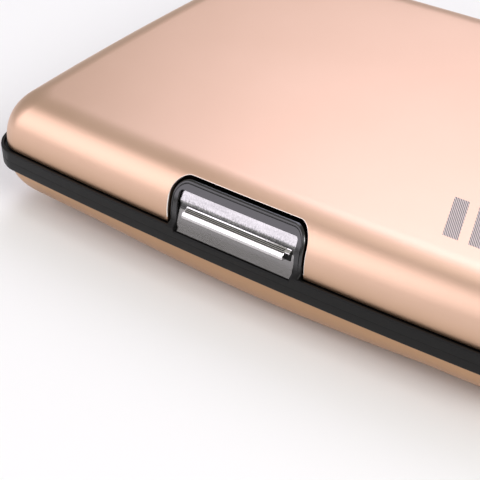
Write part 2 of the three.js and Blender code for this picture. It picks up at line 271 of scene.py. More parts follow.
def bowed(x, y):
    """Moves a point of the straight-sided outline onto the gently bowed one."""
    fall_x = BOW_SHORT / HALF_X * (y / HALF_Y) ** 2
    fall_y = BOW_LONG / HALF_Y * (x / HALF_X) ** 2
    return x * (1 - fall_x), y * (1 - fall_y)


def column_place(column, inset, fall=CORNER_FALL):
    """Where one column of the outline stands, inset from the band's edge."""
    kind, value, right, rear = column
    half_x, half_y = HALF_X - inset, HALF_Y - inset
    radius = CORNER - fall * inset
    if kind == "long":
        x, y = value / (1 - BOW_SHORT / HALF_X * (half_y / HALF_Y) ** 2), rear * half_y
    elif kind == "run":
        near = LONG_STRAIGHT / (1 - BOW_SHORT / HALF_X * (half_y / HALF_Y) ** 2)
        x, y = right * (near + value * (half_x - radius - near)), rear * half_y
    elif kind == "arc":
        x = right * (half_x - radius + radius * math.cos(value))
        y = rear * (half_y - radius + radius * math.sin(value))
    else:
        x, y = right * half_x, value * (half_y - radius)
    return bowed(x, y)


def plan(front, rear, arc_steps=14, short_steps=26):
    """Columns round the outline, anticlockwise from the front's left end. front and rear list x."""
    run = [0.25, 0.5, 0.75]
    arc = [math.pi / 2 * k / arc_steps for k in range(arc_steps + 1)]
    short = [-1 + 2 * k / short_steps for k in range(1, short_steps)]
    columns = [("long", x, 0, -1) for x in front]
    columns += [("run", share, 1, -1) for share in run]
    columns += [("arc", turn, 1, -1) for turn in reversed(arc)]
    columns += [("short", share, 1, 0) for share in short]
    columns += [("arc", turn, 1, 1) for turn in arc]
    columns += [("run", share, 1, 1) for share in reversed(run)]
    columns += [("long", x, 0, 1) for x in reversed(rear)]
    columns += [("run", share, -1, 1) for share in run]
    columns += [("arc", turn, -1, 1) for turn in reversed(arc)]
    columns += [("short", share, -1, 0) for share in reversed(short)]
    columns += [("arc", turn, -1, -1) for turn in arc]
    columns += [("run", share, -1, -1) for share in reversed(run)]
    return columns


def ring(columns, inset, height, fall=CORNER_FALL):
    """One row of points. inset and height are numbers, or lists with one number a column."""
    insets = inset if isinstance(inset, list) else [inset] * len(columns)
    heights = height if isinstance(height, list) else [height] * len(columns)
    return [(*column_place(c, i, fall), z) for c, i, z in zip(columns, insets, heights)]


def spread(stops, spacing):
    """Numbers through every stop, no further apart than spacing."""
    values = [stops[0]]
    for low, high in zip(stops, stops[1:]):
        steps = max(1, math.ceil((high - low) / spacing))
        values += [low + (high - low) * k / steps for k in range(1, steps + 1)]
    return values


def mirrored(values):
    """The values and their negatives, in order."""
    return sorted({round(sign * value, 6) for value in values for sign in (-1, 1)})


def roll_share(part):
    """A sine or cosine turned into a share of the lid's roll, which is a little squarer than an ellipse."""
    return max(part, 0) ** (2 / ROLL_POWER)


def roll_inset(height):
    """How far in the lid's roll stands at a height."""
    rise = min(max((height - LID_RIM) / (HEIGHT - LID_RIM), 0), 1)
    return SHELL_INSET + ROLL_WIDTH * (1 - (1 - rise**ROLL_POWER) ** (1 / ROLL_POWER))


def roll_y(x, z, offset=0.0):
    """The y of the lid's front face at x and z, moved inwards by offset."""
    return -(HALF_Y - roll_inset(z)) * (1 - BOW_LONG / HALF_Y * (x / HALF_X) ** 2) + offset


# ---------------------------------------------------------------- materials


class Nodes:
    """Short calls for building a material's node tree."""

    def __init__(self, name):
        self.material = bpy.data.materials.new(name)
        self.material.use_nodes = True
        self.tree = self.material.node_tree
        self.shader = self.tree.nodes["Principled BSDF"]
        self.place = self.add("ShaderNodeTexCoord").outputs["Object"]

    def add(self, kind, **settings):
        node = self.tree.nodes.new(kind)
        for key, value in settings.items():
            setattr(node, key, value)
        return node

    def join(self, source, target):
        self.tree.links.new(source, target)

    def set(self, **values):
        for key, value in values.items():
            self.shader.inputs[key.replace("_", " ")].default_value = value

    def split(self):
        """The object coordinates apart, in metres."""
        node = self.add("ShaderNodeSeparateXYZ")
        self.join(self.place, node.inputs["Vector"])
        return node.outputs

    def scaled(self, scale):
        node = self.add("ShaderNodeMapping")
        node.inputs["Scale"].default_value = scale
        self.join(self.place, node.inputs["Vector"])
        return node.outputs["Vector"]

    def noise(self, per_mm, detail=2.0, roughness=0.5, vector=None):
        node = self.add("ShaderNodeTexNoise")
        node.inputs["Scale"].default_value = per_mm / MM
        node.inputs["Detail"].default_value = detail
        node.inputs["Roughness"].default_value = roughness
        self.join(vector or self.place, node.inputs["Vector"])
        return node.outputs["Fac"]

    def span(self, value, low, high, to_low=0.0, to_high=1.0):
        node = self.add("ShaderNodeMapRange")
        self.join(value, node.inputs["Value"])
        for key, number in zip(("From Min", "From Max", "To Min", "To Max"), (low, high, to_low, to_high)):
            node.inputs[key].default_value = number
        return node.outputs["Result"]

    def math(self, operation, *values):
        node = self.add("ShaderNodeMath", operation=operation)
        for socket, value in zip(node.inputs, values):
            if isinstance(value, (int, float)):
                socket.default_value = value
            else:
                self.join(value, socket)
        return node.outputs[0]

    def blend(self, share, first, second):
        node = self.add("ShaderNodeMix", data_type="RGBA")
        sockets = [socket for socket in node.inputs if socket.enabled]
        for socket, value in zip(sockets, (share, first, second)):
            if isinstance(value, (int, float, tuple)):
                socket.default_value = value
            else:
                self.join(value, socket)
        return next(output for output in node.outputs if output.enabled)

    def mixed(self, first, second, share):
        """first and second added in the proportion share to 1 - share."""
        rest = self.math("MULTIPLY", second, 1 - share)
        return self.math("ADD", self.math("MULTIPLY", first, share), rest)

    def feed(self, **links):
        for key, source in links.items():
            self.join(source, self.shader.inputs[key.replace("_", " ")])

    def bump(self, height, distance, strength=1.0, normal=None):
        node = self.add("ShaderNodeBump")
        node.inputs["Distance"].default_value = distance * MM
        node.inputs["Strength"].default_value = strength
        self.join(height, node.inputs["Height"])
        if normal:
            self.join(normal, node.inputs["Normal"])
        return node.outputs["Normal"]

    def finish(self, normal=None):
        if normal:
            self.join(normal, self.shader.inputs["Normal"])
        return self.material


def linear(red, green, blue):
    """A colour of 0 to 255 display values in the shader's linear numbers."""
    channel = [value / 255 for value in (red, green, blue)]
    return (*(c / 12.92 if c <= 0.04045 else ((c + 0.055) / 1.055) ** 2.4 for c in channel), 1.0)


def etched_bars(n):
    """1 on a row of four leaning bars near the front of the lid, and 0 elsewhere, with their hatching."""
    split = n.split()
    along, across = (n.math("DIVIDE", split[axis], MM) for axis in "XY")
    lean = n.math("MULTIPLY", n.math("SUBTRACT", across, MARK_FRONT), MARK_LEAN)
    leaning = n.math("SUBTRACT", along, lean)
    cell = n.math("DIVIDE", n.math("SUBTRACT", leaning, MARK_LEFT), MARK_PITCH)
    share = n.math("FRACT", cell)
    tests = [
        n.math("GREATER_THAN", cell, 0),
        n.math("LESS_THAN", cell, MARK_COUNT),
        n.math("LESS_THAN", share, MARK_FILL),
        n.math("GREATER_THAN", across, MARK_FRONT),
        n.math("LESS_THAN", across, MARK_REAR),
        n.math("GREATER_THAN", split["Z"], (HEIGHT - 0.5) * MM),
    ]
    mask = tests[0]
    for test in tests[1:]:
        mask = n.math("MULTIPLY", mask, test)
    hatch = n.math("SINE", n.math("MULTIPLY", n.math("ADD", along, across), 2 * math.pi / MARK_HATCH))
    return mask, n.span(hatch, -0.4, 0.4)


def anodised(name, low, high, marked_and_shaded=False):
    """Bead-blasted, rose-gold anodised aluminium. The flag adds the lid's etched bars and painted shade, a
    darker tan towards the lid's rim.
    """
    n = Nodes(name)
    n.set(Metallic=1.0)
    broad = n.noise(0.03, 3)
    fine = n.noise(3.2, 2, 0.6)
    colour = n.blend(n.span(broad, 0.3, 0.7), linear(*low), linear(*high))
    if marked_and_shaded:
        # Painted shade: the lid's roll is coloured a darker tan towards its rim, fading out LID_SHADED
        # higher.
        rise = n.span(n.split()["Z"], LID_RIM * MM, (LID_RIM + LID_SHADED) * MM)
        colour = n.blend(rise, linear(191, 156, 128), colour)
    rough = n.span(n.mixed(fine, broad, 0.5), 0.3, 0.7, 0.36, 0.42)
    normal = n.bump(fine, 0.012, 0.5)
    if marked_and_shaded:
        mask, hatch = etched_bars(n)
        etched = n.blend(hatch, linear(140, 136, 134), linear(214, 200, 194))
        colour = n.blend(mask, colour, etched)
        rough = n.math("ADD", rough, n.math("MULTIPLY", mask, 0.15))
        normal = n.bump(n.math("MULTIPLY", mask, hatch), 0.02, 0.6, normal)
    n.feed(Base_Color=colour, Roughness=rough)
    return n.finish(normal)


def moulded(name, tone=0.006, rough=(0.42, 0.52), grain=1.4, depth=0.012, ior=1.27, gloss=None):
    """Satin black moulding with a fine spark-eroded grain. With gloss, it is lacquered above the band."""
    n = Nodes(name)
    broad = n.noise(0.08, 3)
    fine = n.noise(grain, 3, 0.6)
    low, high = (tone, tone, tone * 1.02, 1), (tone * 1.25, tone * 1.22, tone * 1.2, 1)
    colour = n.blend(n.span(broad, 0.3, 0.7), low, high)
    rough = n.span(n.mixed(fine, broad, 0.6), 0.3, 0.7, *rough)
    if gloss:
        polish = n.span(n.split()["Z"], *(z * MM for z in LACQUERED))
        rough = n.math("SUBTRACT", rough, n.math("MULTIPLY", polish, gloss))
        colour = n.blend(polish, colour, (0.076, 0.075, 0.077, 1))
        n.feed(Metallic=polish)
    n.feed(Base_Color=colour, Roughness=rough)
    n.set(IOR=ior)
    return n.finish(n.bump(fine, depth, 0.6))


def chromed(name, bright, rough=(0.14, 0.24), dark_reflection=False):
    """Chrome plate, finely speckled, darker towards the bottom as painted shade. The flag adds a grainy
    dark band above the ridge, a painted reflection of the ridge's dark shelf.
    """
    n = Nodes(name)
    n.set(Metallic=1.0)
    speckle = n.noise(4.0, 3, 0.7)
    streaks = n.noise(1.2, 3, 0.6, n.scaled((0.12, 1, 1)))
    mixed = n.mixed(speckle, streaks, 0.6)
    low, high = ((level, level * 0.975, level * 0.985, 1) for level in (bright * 0.75, bright * 1.15))
    tone = n.blend(n.span(mixed, 0.35, 0.65), low, high)
    height = n.math("DIVIDE", n.split()["Z"], MM)
    # Painted shade: darker towards the bottom of the plate and of the ridge.
    shaded_tone = (bright * 0.6, bright * 0.58, bright * 0.58, 1)
    tone = n.blend(n.span(height, *CHROME_SHADE_RISE), shaded_tone, tone)
    if dark_reflection:
        # Painted reflection: a grainy dark band above the ridge, left clear below it.
        below = n.span(height, CHROME_SHADE_RISE[1], CHROME_SHADE_RISE[1] + 0.1, 1, 0)
        ragged = n.math("ADD", height, n.math("MULTIPLY", mixed, REFLECTION_RAGGED))
        clear = n.math("MAXIMUM", below, n.span(ragged, *CHROME_REFLECTION))
        tone = n.blend(clear, (bright * 0.2, bright * 0.2, bright * 0.2, 1), tone)
    n.feed(Base_Color=tone, Roughness=n.span(mixed, 0.35, 0.65, *rough))
    return n.finish(n.bump(speckle, 0.006, 0.8))


def cut_edge(name):
    """The bright chamfer left where the anodised shell is cut away afterwards."""
    n = Nodes(name)
    n.set(Metallic=1.0)
    lines = n.noise(3.0, 2, 0.5)
    colour = n.blend(lines, linear(250, 240, 232), linear(255, 250, 246))
    n.feed(Base_Color=colour, Roughness=n.span(lines, 0.3, 0.7, 0.45, 0.6))
    return n.finish(n.bump(lines, 0.004, 0.5))


def drawn_steel(name):
    """Plain drawn steel wire and strip."""
    n = Nodes(name)
    n.set(Metallic=1.0)
    streaks = n.noise(2.0, 3, 0.6, n.scaled((0.1, 1, 1)))
    colour = n.blend(streaks, linear(150, 151, 154), linear(190, 190, 192))
    n.feed(Base_Color=colour, Roughness=n.span(streaks, 0.3, 0.7, 0.22, 0.4))
    return n.finish(n.bump(streaks, 0.006, 0.5))


def woven(name, tone=0.02, pitch=0.42):
    """Fine plain-woven nylon."""
    n = Nodes(name)
    turns = 2 * math.pi / (pitch * MM)
    split = n.split()
    along, over = (n.math("SINE", n.math("MULTIPLY", split[axis], turns)) for axis in "XY")
    threads = n.span(n.math("MULTIPLY", along, over), -1, 1)
    fuzz = n.noise(2.4, 3, 0.6)
    mixed = n.mixed(threads, fuzz, 0.75)
    low, high = (tone * 0.6, tone * 0.6, tone * 0.63, 1), (tone * 1.8, tone * 1.8, tone * 1.85, 1)
    n.feed(Base_Color=n.blend(mixed, low, high), Roughness=n.span(fuzz, 0.3, 0.7, 0.62, 0.8))
    n.set(Sheen_Weight=0.25, Sheen_Roughness=0.5)
    return n.finish(n.bump(mixed, 0.06, 0.7))


def floor_paint(name):
    """Pale matt paint with the faintest unevenness."""
    n = Nodes(name)
    haze = n.noise(0.002, 2)
    n.feed(Base_Color=n.blend(haze, (0.9, 0.9, 0.9, 1), (0.92, 0.92, 0.92, 1)))
    n.set(Roughness=0.9)
    return n.finish()


# ---------------------------------------------------------------- shells


def notch_top(x):
    """Height of the notch's edge at x."""
    beyond = min(max(abs(x) - (NOTCH_HALF - NOTCH_CORNER), 0), NOTCH_CORNER)
    return NOTCH_HIGH - NOTCH_CORNER + math.sqrt(NOTCH_CORNER**2 - beyond**2)


def lid_columns():
    """The lid's columns, with one at each edge of the notch and of the hinge's cut."""
    middle = spread([0, NOTCH_HALF - NOTCH_CORNER], 1.3)
    corner = [NOTCH_HALF - NOTCH_CORNER * (1 - math.sin(math.pi / 2 * k / 12)) for k in range(13)]
    front = mirrored([*middle, *corner, *spread([NOTCH_HALF, 16, LONG_STRAIGHT], 1.3)])
    rear = mirrored(spread([0, HINGE_CUT_HALF, LONG_STRAIGHT], 1.6))
    return plan(front, rear)


def split_height(column):
    """Where the lid's upper and lower bands of faces meet, so that a cut-out's edge is a row."""
    kind, value, _, rear = column
    if kind == "long" and rear < 0:
        if abs(value) <= NOTCH_HALF:
            return notch_top(value)
        share = min((abs(value) - NOTCH_HALF) / SPLIT_EASE_FRONT, 1)
        return SPLIT_HIGH + (NOTCH_HIGH - NOTCH_CORNER - SPLIT_HIGH) * (1 - share) ** 2
    if kind == "long":
        share = min(max(abs(value) - HINGE_CUT_HALF, 0) / SPLIT_EASE_REAR, 1)
        return HINGE_CUT_HIGH + (SPLIT_HIGH - HINGE_CUT_HIGH) * share
    return SPLIT_HIGH


def in_cutout(first, second):
    """True if the faces below the split between two columns are cut away."""
    if first[0] != "long" or second[0] != "long" or first[3] != second[3]:
        return False
    half = NOTCH_HALF if first[3] < 0 else HINGE_CUT_HALF
    return max(abs(first[1]), abs(second[1])) <= half + 1e-6


def face(parts, row, height, steps):
    """Fills a flat face from its outline in to the middle."""
    shares = [1 - k / steps for k in range(steps)]
    rings = [[(x * share, y * share, height) for x, y, _ in row] for share in shares]
    parts.grid(rings, closed=True)
    parts.fan(rings[-1], (0, 0, height))


def chamfer_notch(item, width=0.14):
    """Chamfers the outer edge of the latch notch in the bright finish."""
    work = bmesh.new()
    work.from_mesh(item.data)
    weight = work.edges.layers.float.new("bevel_weight_edge")

    def on_edge(vertex):
        x, y, z = vertex.co / MM
        inside = abs(x) < NOTCH_HALF + 0.01 and z > LID_RIM + 0.01
        return inside and y < 0 and abs(y - roll_y(x, z)) < 0.02

    for edge in work.edges:
        if edge.is_manifold and edge.calc_face_angle() > math.radians(50) and all(map(on_edge, edge.verts)):
            edge[weight] = 1
    work.to_mesh(item.data)
    work.free()
    item.data.materials.append(cut_edge("cut_edge"))
    modifier = item.modifiers.new("chamfer", "BEVEL")
    modifier.width = width * MM
    modifier.segments = 2
    modifier.limit_method = "WEIGHT"
    modifier.use_clamp_overlap = False
    modifier.material = 1


def lid_shell(material):
    """The lid's two skins, joined along the rim and round both cut-outs."""
    columns = lid_columns()
    count = len(columns)
    splits = [split_height(column) for column in columns]
    parts = Parts()
    skins = []
    upper_shares, lower_shares = [1 - k / 14 for k in range(15)], [1 - k / 7 for k in range(8)]
    for wall, skin_steps in ((0.0, 9), (SHELL_WALL, 3)):
        inset, width, tall = SHELL_INSET + wall, ROLL_WIDTH - wall, HEIGHT - LID_RIM - wall
        turn_at = [math.asin(((split - LID_RIM) / tall) ** (ROLL_POWER / 2)) for split in splits]

        def row(turns):
            insets = [inset + width * (1 - roll_share(math.cos(t))) for t in turns]
            return ring(columns, insets, [LID_RIM + tall * roll_share(math.sin(t)) for t in turns])

        upper = [row([t + (math.pi / 2 - t) * share for t in turn_at]) for share in upper_shares]
        lower = [row([t * share for t in turn_at]) for share in lower_shares]
        parts.grid(upper, closed=True)
        parts.grid(lower, closed=True, skip=lambda r, c: in_cutout(columns[c], columns[(c + 1) % count]))
        face(parts, upper[0], upper[0][0][2], skin_steps)
        skins.append(lower)
    outer, inner = skins
    for c in range(count):
        after = (c + 1) % count
        level = 0 if in_cutout(columns[c], columns[after]) else -1
        parts.grid([[outer[level][c], outer[level][after]], [inner[level][c], inner[level][after]]])
    for c in range(count):
        before = in_cutout(columns[c - 1], columns[c])
        beyond = in_cutout(columns[c], columns[(c + 1) % count])
        if before != beyond:
            parts.grid([[points[c] for points in skin] for skin in skins])
    item = parts.piece("lid_shell_skin", material)
    chamfer_notch(item)
    bevel(item, 0.16)
    return item


def base_roll(column):
    """The width of the base's roll at a column: narrow at the middle of the long sides."""
    kind, value, _, _ = column
    share = min(abs(value) / BASE_ROLL_SPAN, 1) if kind == "long" else 1
    return BASE_ROLL_MIDDLE + (BASE_ROLL_ENDS - BASE_ROLL_MIDDLE) * share * share


def base_shell(material):
    """The base's two skins, joined along the rim."""
    side = mirrored(spread([0, LONG_STRAIGHT], 2.0))
    columns = plan(side, side)
    parts = Parts()
    rims = []
    for wall, steps in ((0.0, 18), (SHELL_WALL, 10)):
        inset, tall = SHELL_INSET + wall, BASE_RIM - wall
        turns = [math.pi / 2 * k / steps for k in range(steps + 1)]
        rows = []
        for turn in turns:
            insets = [inset + (base_roll(column) - wall) * (1 - math.cos(turn)) for column in columns]
            rows.append(ring(columns, insets, BASE_RIM - tall * math.sin(turn), BASE_CORNER_FALL))
        parts.grid(rows, closed=True)
        face(parts, rows[-1], wall, 5)
        rims.append(rows[0])
    parts.grid(rims, closed=True)
    item = parts.piece("base_shell_skin", material)
    bevel(item, 0.16)
    return item


# ---------------------------------------------------------------- frames

BAND_FOOT = [(FRAME_INNER, FRAME_FOOT), (2.95, FRAME_FOOT), (1.9, BAND_LOW), (0.42, BAND_LOW)]
BAND_FOOT += [(0.22, 8.26), (0.08, 8.38), (0, 8.6)]
BAND_CREASE = [(0, 9.9), (0.04, 9.96), (0.04, 10.04), (0, 10.1)]
BAND_CROWN = [(0, 0.28), (0.03, 0.14), (0.1, 0.04), (0.2, 0), (0.44, 0.02), (0.52, 0.12), (0.58, 0.6)]
BAND_CROWN += [(1.79, 0.6), (1.85, 0), (3.45, 0), (3.62, 0.06), (FRAME_INNER, 0.24)]


def band_section(column, top, sill):
    """The band's section at one column: its foot, crease and crown, the crown lowered to top."""
    section = [*BAND_FOOT]
    section += [(inset, min(height, top - 0.35)) for inset, height in BAND_CREASE]
    section += [(inset, (sill if inset < 0.35 else min(top, sill)) - drop) for inset, drop in BAND_CROWN]
    return [(*column_place(column, inset), height) for inset, height in section]


def knuckles(parts, first):
    """Every other knuckle from the left, and the spans they cover."""
    spans = []
    for k in range(first, len(KNUCKLE_ENDS) - 1, 2):
        x0 = KNUCKLE_ENDS[k] + (KNUCKLE_GAP / 2 if k else 0)
        x1 = KNUCKLE_ENDS[k + 1] - (KNUCKLE_GAP / 2 if k < len(KNUCKLE_ENDS) - 2 else 0)
        parts.rod(KNUCKLE_R, x0, x1, HINGE_Y, HINGE_Z, 0.18)
        spans.append((x0, x1))
    return spans


def arch(half, high, corner, foot):
    """Points and outward directions round an arch in X and Z, from its right foot to its left one."""
    side_steps, corner_steps, top_steps = 18, 12, 7
    spring = high - corner
    right = [((half, foot + (spring - foot) * k / side_steps), (1, 0)) for k in range(side_steps)]
    for k in range(corner_steps + 1):
        turn = math.pi / 2 * k / corner_steps
        across, up = math.cos(turn), math.sin(turn)
        right.append(((half - corner + corner * across, spring + corner * up), (across, up)))
    right += [(((half - corner) * (1 - k / top_steps), high), (0, 1)) for k in range(1, top_steps)]
    left = [((-x, z), (-across, up)) for (x, z), (across, up) in reversed(right)]
    return [*right, ((0, high), (0, 1)), *left]


def face_y(x, z):
    """The surround's front. It follows the lid's roll, and its feet flare out to the band's face."""
    low, high = FLARE
    share = min(max((high - z) / (high - low), 0), 1)
    sunk = 1.2 * max(low - z, 0)
    return roll_y(x, z, sunk - SHELL_INSET * share * share * (3 - 2 * share))


def face_point(x, z, back):
    """A point that far behind the surround's front."""
    return x, face_y(x, z) + back, z


def surround_section(inner, seam, outward):
    """One section of the surround: window wall, flat front, seam and rounded outer flank."""
    (xi, zi), (xs, zs), (nx, nz) = inner, seam, outward
    if zi < SILL_HIGH + SILL_CORNER:
        drop = min(SILL_HIGH + SILL_CORNER - zi, SILL_CORNER)
        xi -= math.copysign(SILL_CORNER - math.sqrt(SILL_CORNER**2 - drop**2), xi)
    section = [(xi, TOWER_BACK, zi)]
    lip = ((0, 0.18), (0.03, 0.06), (0.1, 0))
    section += [face_point(xi + nx * out, zi + nz * out, back) for out, back in lip]
    start_x, start_z = xi + nx * 0.1, zi + nz * 0.1
    for share in (0.25, 0.5, 0.75, 1):
        section.append(face_point(start_x + (xs - start_x) * share, start_z + (zs - start_z) * share, 0))
    depth = 0.2 * min(max((zs - 12.4) / 1.5, 0), 1)
    y = face_y(xs, zs)
    flank = [(0.01, depth), (0.08, depth)]
    for k in range(13):
        turn = math.pi / 2 * k / 8
        flank.append((0.1 + 0.42 * math.sin(turn), 0.52 * (1 - math.cos(turn))))
    for out, back in flank:
        section.append((xs + nx * out, y + back, zs + nz * out))
    section.append((xs + nx * 0.1, TOWER_BACK, zs + nz * 0.1))
    return section


def latch_surround(material):
    """The arch of the frame round the latch window, with the two rests behind the cover's ends."""
    inner = arch(WINDOW_HALF, WINDOW_HIGH, WINDOW_CORNER, TOWER_FOOT)
    seam = arch(SEAM_HALF, SEAM_HIGH, SEAM_CORNER, TOWER_FOOT)
    parts = Parts()
    parts.sweep([surround_section(i, o, outward) for (i, _), (o, outward) in zip(inner, seam)])
    for side in (-1, 1):
        parts.box(sorted((side * REST_INNER, side * (WINDOW_HALF + 0.5))), REST_DEPTH, REST_HEIGHT)
    item = parts.piece("latch_surround", material)
    crease(item)
    return item


def base_frame(material):
    """The band with its hinge knuckles. Its crown is lowered under the window and at the hinge."""
    front = mirrored(spread([0, WINDOW_HALF, LONG_STRAIGHT], 1.8))
    rear = mirrored(spread([0, HINGE_CUT_HALF, LONG_STRAIGHT], 2.0))
    parts = Parts()
    sections = []
    for column in plan(front, rear):
        kind, value, _, side = column
        plain = band_section(column, BAND_HIGH, BAND_HIGH)
        half = WINDOW_HALF if side < 0 else HINGE_CUT_HALF
        lowered = (WINDOW_LOW, SILL_HIGH) if side < 0 else (HINGE_CUT_LOW, HINGE_CUT_LOW)
        if kind != "long" or abs(value) > half + 1e-6:
            sections.append(plain)
            continue
        dropped = band_section(column, *lowered)
        if abs(value) < half - 1e-6:
            sections.append(dropped)
        elif value * side > 0:
            sections += [plain, dropped]
        else:
            sections += [dropped, plain]
    parts.grid([*sections, sections[0]], closed=True)
    parts.box((-HINGE_CUT_HALF - 1, HINGE_CUT_HALF + 1), REAR_WALL, (FRAME_FOOT, BAND_HIGH))
    for x0, x1 in knuckles(parts, 0):
        parts.box((x0, x1), (HINGE_Y - 1.4, HINGE_Y + 0.4), (HINGE_CUT_LOW - 0.5, HINGE_Z))
    item = parts.piece("base_frame_moulding", material)
    bevel(item, 0.14, 3, 35)
    return item


def lid_frame(material):
    """The lid's inner moulding: a rim, two cheeks and a wall behind the latch, and its knuckles."""
    low, high = LID_RIM + 0.1, LID_RIM + LID_FRAME_TALL
    side_gap = NOTCH_HALF + 0.3
    columns = plan(spread([side_gap, LONG_STRAIGHT], 2.0), spread([HINGE_CUT_HALF, LONG_STRAIGHT], 2.0))
    end = columns.index(("long", HINGE_CUT_HALF, 0, 1))
    profile = [(FRAME_INNER, low), (1.9, low), (1.95, low + 0.6), (2.5, high), (FRAME_INNER, high)]
    parts = Parts()
    right = [[(*column_place(c, inset), z) for inset, z in profile] for c in columns[: end + 1]]
    parts.sweep(right)
    parts.sweep([[(-x, y, z) for x, y, z in section] for section in right])
    parts.box((-HINGE_CUT_HALF - 1, HINGE_CUT_HALF + 1), REAR_WALL, (low, high))
    cheek = [(-34.6, low), (-30.4, low), (-30.4, 17.6), (-33.2, 17), (-34.6, 15)]
    for x0 in (-side_gap - CHEEK_WALL, side_gap):
        parts.prism(cheek, x0, x0 + CHEEK_WALL)
    parts.box((-NOTCH_HALF - 1, NOTCH_HALF + 1), LATCH_WALL, (low, 18))
    for x0, x1 in knuckles(parts, 1):
        parts.box((x0, x1), (REAR_WALL[1] - 0.3, HINGE_Y), (HINGE_Z + 0.6, HINGE_Z + 1.5))
    item = parts.piece("lid_frame_moulding", material)
    bevel(item, 0.14, 3, 35)
    return item


# ---------------------------------------------------------------- latch


def eased(p, q, r, s, t):
    """The smooth value from q, at t = 0, to r, at t = 1, between neighbours p and s."""
    square, cube = 2 * p - 5 * q + 4 * r - s, 3 * q - p - 3 * r + s
    return 0.5 * (2 * q + (r - p) * t + square * t**2 + cube * t**3)


def through(points, steps):
    """A smooth curve through the points, steps to each stretch."""
    padded = [points[0], *points, points[-1]]
    curve = []
    for stretch in zip(padded, padded[1:], padded[2:], padded[3:]):
        curve += [tuple(eased(*values, k / steps) for values in zip(*stretch)) for k in range(steps)]
    return [*curve, tuple(points[-1])]


def shelf_height(y):
    """The ridge's sloping shelf at y."""
    y0, z0 = RIDGE_FILLET[-1]
    return z0 + RIDGE_SLOPE * (y - y0)


def ridge_section():
    """The ridge's side outline: a sloping shelf with fine grooves, and a rounded nose."""
    shelf = list(RIDGE_FILLET)
    last, _ = shelf[-1]
    for groove in RIDGE_GROOVES:
        rear, front = groove + GROOVE_HALF, groove - GROOVE_HALF
        floor = shelf_height(groove) - GROOVE_DEPTH
        fin_foot = shelf_height(last) - FIN_SLOPE * (last - rear)
        shelf += [(rear, fin_foot), (rear - 0.01, floor), (front + 0.01, floor)]
        shelf.append((front, shelf_height(front)))
        last = front
    return [*shelf, *RIDGE_NOSE]


def latch_cover(material):
    """The chromed scoop, a bent plate."""
    scoop = through(SCOOP, 5)
    back = [(y + COVER_WALL, z - 0.05) for y, z in reversed(scoop)]
    parts = Parts()
    parts.prism([*scoop, *back], -COVER_HALF, COVER_HALF)
    item = parts.piece("latch_cover_plate", material)
    crease(item, 30)
    return item


def latch_ridge(material):
    """The polished ridge that a fingertip pulls, with its shelf running on a little to the right."""
    parts = Parts()
    outline = ridge_section()
    y0, z0 = RIDGE_CORE
    sections = []
    for x, size in ((-RIDGE_HALF, 0.9), (-RIDGE_HALF + 0.06, 1), (RIDGE_HALF - 0.06, 1), (RIDGE_HALF, 0.9)):
        sections.append([(x, y0 + (y - y0) * size, z0 + (z - z0) * size) for y, z in outline])
    parts.sweep(sections)
    parts.prism([*RIDGE_FILLET, *SHELF_END], RIDGE_HALF - 0.2, RIDGE_HALF + 0.75)
    item = parts.piece("latch_cover_ridge", material)
    crease(item, 20)
    return item


def ridge_shade_pieces(material):
    """Black strips on the ridge's groove floors and a black block under the end of its shelf: dark pieces
    standing in for the shade there, painted shade.
    """
    parts = Parts()
    long, edge = (0.2 - RIDGE_HALF, RIDGE_HALF - 0.2), GROOVE_HALF - 0.015
    # Painted shade: black strips on the groove floors.
    for groove in RIDGE_GROOVES:
        floor = shelf_height(groove) - GROOVE_DEPTH
        parts.box(long, (groove - edge, groove + edge), (floor - 0.04, floor + 0.04))
    # Painted shade: the black block under the shelf's end.
    parts.prism(RIDGE_SHADE_BLOCK, RIDGE_HALF - 0.05, RIDGE_HALF + 0.85)
    item = parts.piece("latch_cover_painted_shade", material)
    crease(item, 30)
    return item


def spring_point(distance):
    """A point that far along the spring's wire: the cover's leg, the coil, then the frame's leg."""
    coil = 2 * math.pi * SPRING_R * SPRING_TURNS
    turned = min(max(distance, 0), coil) / SPRING_R
    straight = min(distance, 0) + max(distance - coil, 0)
    angle = math.pi / 2 + turned
    y0, z0 = PIVOT
    y = y0 + SPRING_R * math.cos(angle) - straight * math.sin(angle)
    z = z0 + SPRING_R * math.sin(angle) + straight * math.cos(angle)
    return Vector((SPRING_FROM + SPRING_PITCH * turned / (2 * math.pi), y, z))


def latch_spring(side, material):
    """A torsion spring round the latch pin, of round wire."""
    end = 2 * math.pi * SPRING_R * SPRING_TURNS + SPRING_POST
    turns = [2 * math.pi * k / 10 for k in range(10)]
    sections = []
    for distance in spread([-SPRING_TAIL, 0, end - SPRING_POST, end], 0.22):
        centre = spring_point(distance)
        along = (spring_point(distance + 0.01) - spring_point(distance - 0.01)).normalized()
        out = along.cross(Vector((1, 0, 0))).normalized() * SPRING_WIRE_R
        over = along.cross(out)
        loop = [centre + out * math.cos(turn) + over * math.sin(turn) for turn in turns]
        sections.append([(side * x, y, z) for x, y, z in loop])
    parts = Parts()
    parts.sweep(sections)
    name = "right" if side > 0 else "left"
    return parts.piece(f"latch_spring_{name}_wire", material)


# ---------------------------------------------------------------- inside


def leaf_outline(shrink=0.0, radius=2.0, steps=6):
    """The plan of a card leaf as points, anticlockwise from the front right."""
    points = []
    x1, y0, y1 = LEAF_HALF - shrink, LEAF_FRONT + shrink, LEAF_REAR - shrink
    corners = ((x1, y0, -90), (x1, y1, 0), (-x1, y1, 90), (-x1, y0, 180))
    for x, y, start in corners:
        cx, cy = x - math.copysign(radius, x), y - math.copysign(radius, y - (y0 + y1) / 2)
        for k in range(steps + 1):
            turn = math.radians(start + 90 * k / steps)
            points.append((cx + radius * math.cos(turn), cy + radius * math.sin(turn)))
    return points


